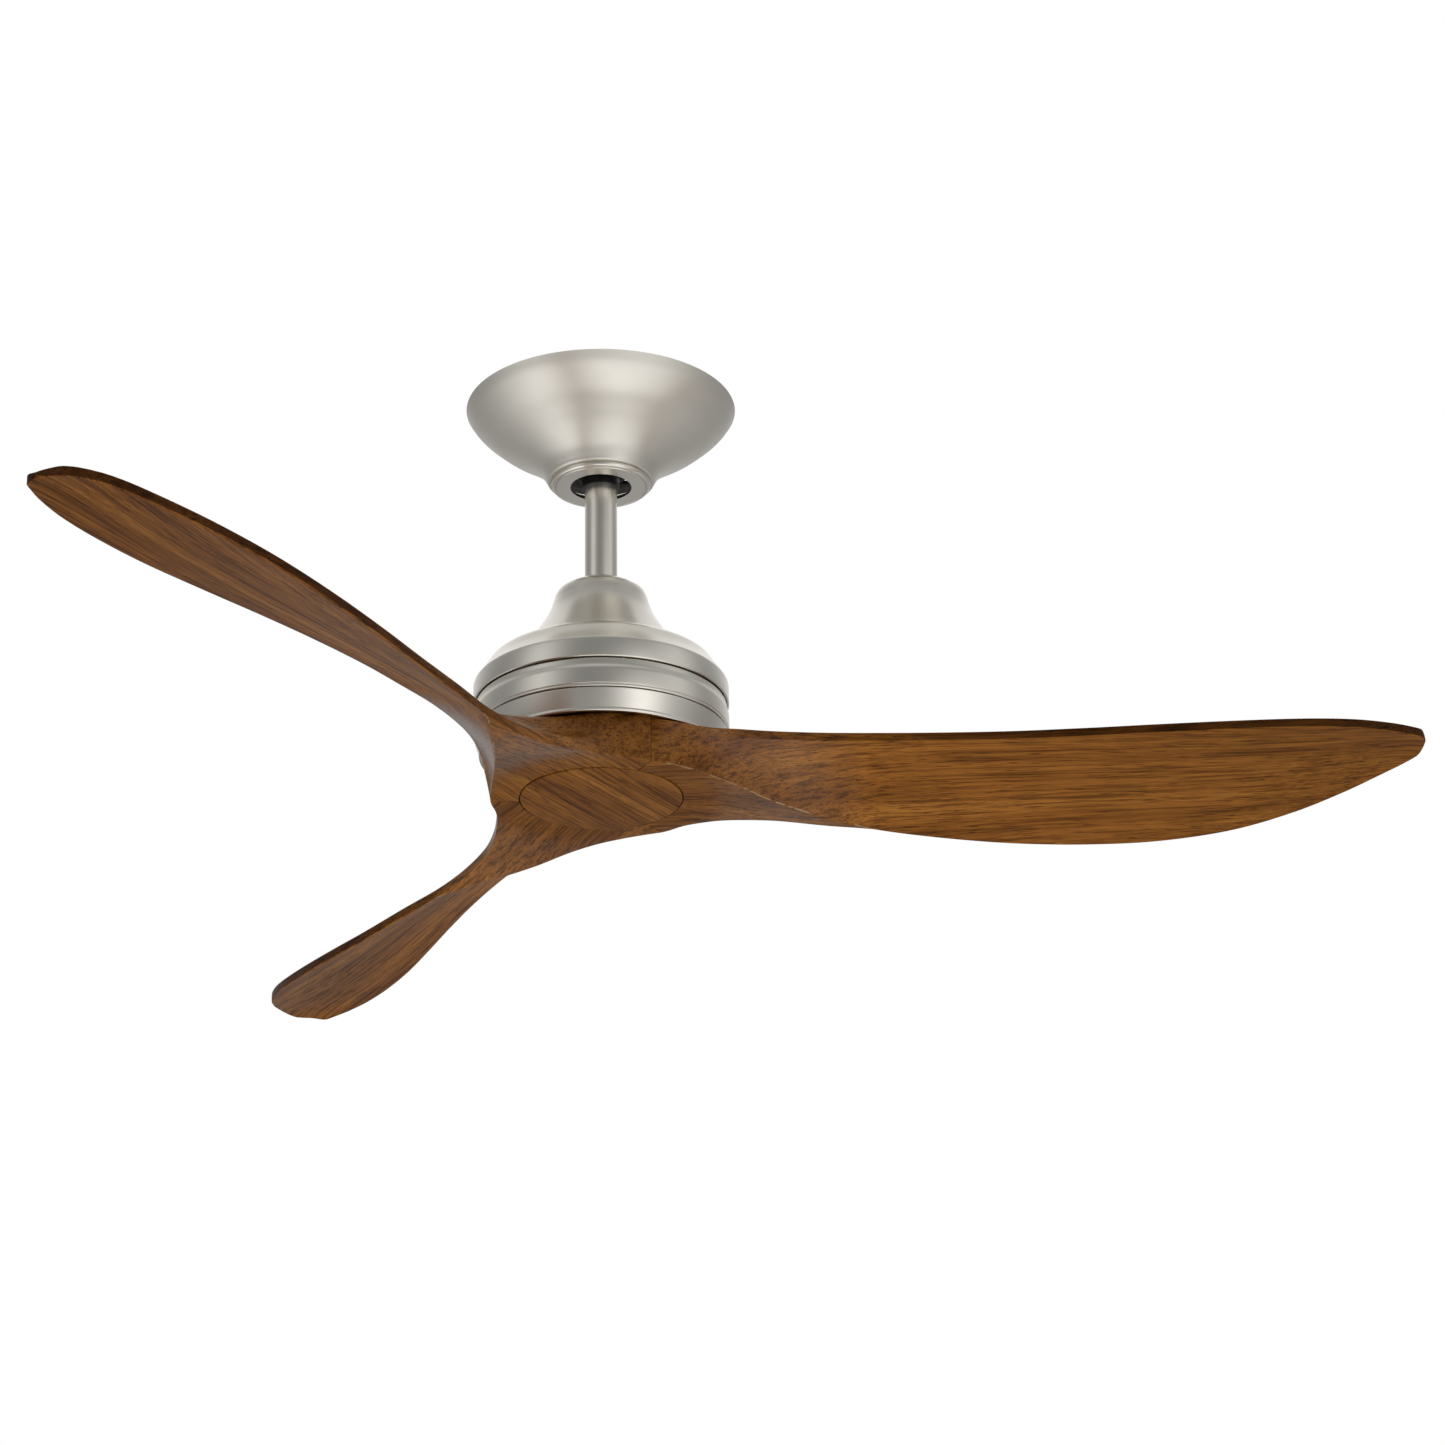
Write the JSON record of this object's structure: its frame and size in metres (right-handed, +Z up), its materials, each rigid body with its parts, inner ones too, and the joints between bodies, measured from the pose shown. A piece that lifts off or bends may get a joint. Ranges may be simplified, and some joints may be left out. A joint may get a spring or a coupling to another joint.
{
  "type": "ceiling fan",
  "caption": "Ceiling fan with carved wood propeller blades, satin nickel motor housing, short downrod and bowl canopy; the light position is closed by a flush wood cap.",
  "frame": {"origin": "centre of the hanger bracket's top face, in the ceiling plane", "axes": "+Z up to the ceiling, the fan hangs to -Z; +X along the bracket between its two ceiling slots, with one blade's axis about 4 degrees clockwise of +X"},
  "size_m": [1.0505, 1.1487, 0.3722],
  "materials": {
    "nickel": "satin nickel plate",
    "blade_wood": "walnut-stained, clear satin lacquer",
    "zinc_steel": "zinc plated steel",
    "painted_aluminium": "cast, painted black",
    "core_steel": "lamination steel and ferrite, dark",
    "copper_wire": "enamelled copper wire",
    "black_plastic": "moulded",
    "black_steel": "black enamelled steel",
    "black_insulation": "wire insulation",
    "white_plastic": "moulded",
    "orange_plastic": "moulded",
    "supply_insulation": "wire insulation",
    "green_screw": "green lacquered screw"
  },
  "bodies": {
    "mount": {"hanger_bracket": "black_steel", "canopy": "nickel", "canopy_screws": "zinc_steel", "canopy_ring": "nickel", "receiver": "black_plastic", "receiver_lead": "black_insulation", "supply_leads": "supply_insulation", "wire_nuts": "orange_plastic", "ground_screw": "green_screw"},
    "hanging": {"hanger_ball": "black_plastic", "ball_pin": "zinc_steel", "ball_set_screw": "zinc_steel", "downrod": "nickel", "motor_lead": "black_insulation", "lead_connector": "white_plastic", "coupling_cover": "nickel", "yoke": "zinc_steel", "clevis_pin": "zinc_steel", "cotter_pin": "zinc_steel", "coupling_set_screws": "zinc_steel", "housing_upper": "nickel", "housing_band": "nickel", "housing_lower": "nickel", "housing_screws": "zinc_steel", "housing_nuts": "zinc_steel", "motor_shaft": "zinc_steel", "shaft_spacers": "zinc_steel", "stator_core": "core_steel", "stator_windings": "copper_wire", "upper_bearing_inner": "zinc_steel", "lower_bearing_inner": "zinc_steel", "shaft_nut": "zinc_steel", "cap_plate": "zinc_steel", "cap_carrier": "black_plastic", "light_cap": "blade_wood"},
    "rotor": {"rotor_cover_top": "painted_aluminium", "rotor_cover_bottom": "painted_aluminium", "rotor_ring": "core_steel", "rotor_magnets": "core_steel", "rotor_screws": "zinc_steel", "upper_bearing_outer": "zinc_steel", "lower_bearing_outer": "zinc_steel", "upper_bearing_balls": "zinc_steel", "lower_bearing_balls": "zinc_steel", "blade_plate": "black_steel", "plate_screws": "zinc_steel", "blade_a": "blade_wood", "blade_b": "blade_wood", "blade_c": "blade_wood", "blade_screws": "zinc_steel"}
  },
  "joints": [
    {"name": "hanger_swing", "type": "hinge", "parent": "mount", "child": "hanging", "pos_m": [0, 0, -0.038], "axis": [0, 1, 0], "range_deg": [-12, 12]},
    {"name": "blade_spin", "type": "hinge", "parent": "hanging", "child": "rotor", "pos_m": [0, 0, -0.3], "axis": [0, 0, 1], "continuous": true}
  ]
}
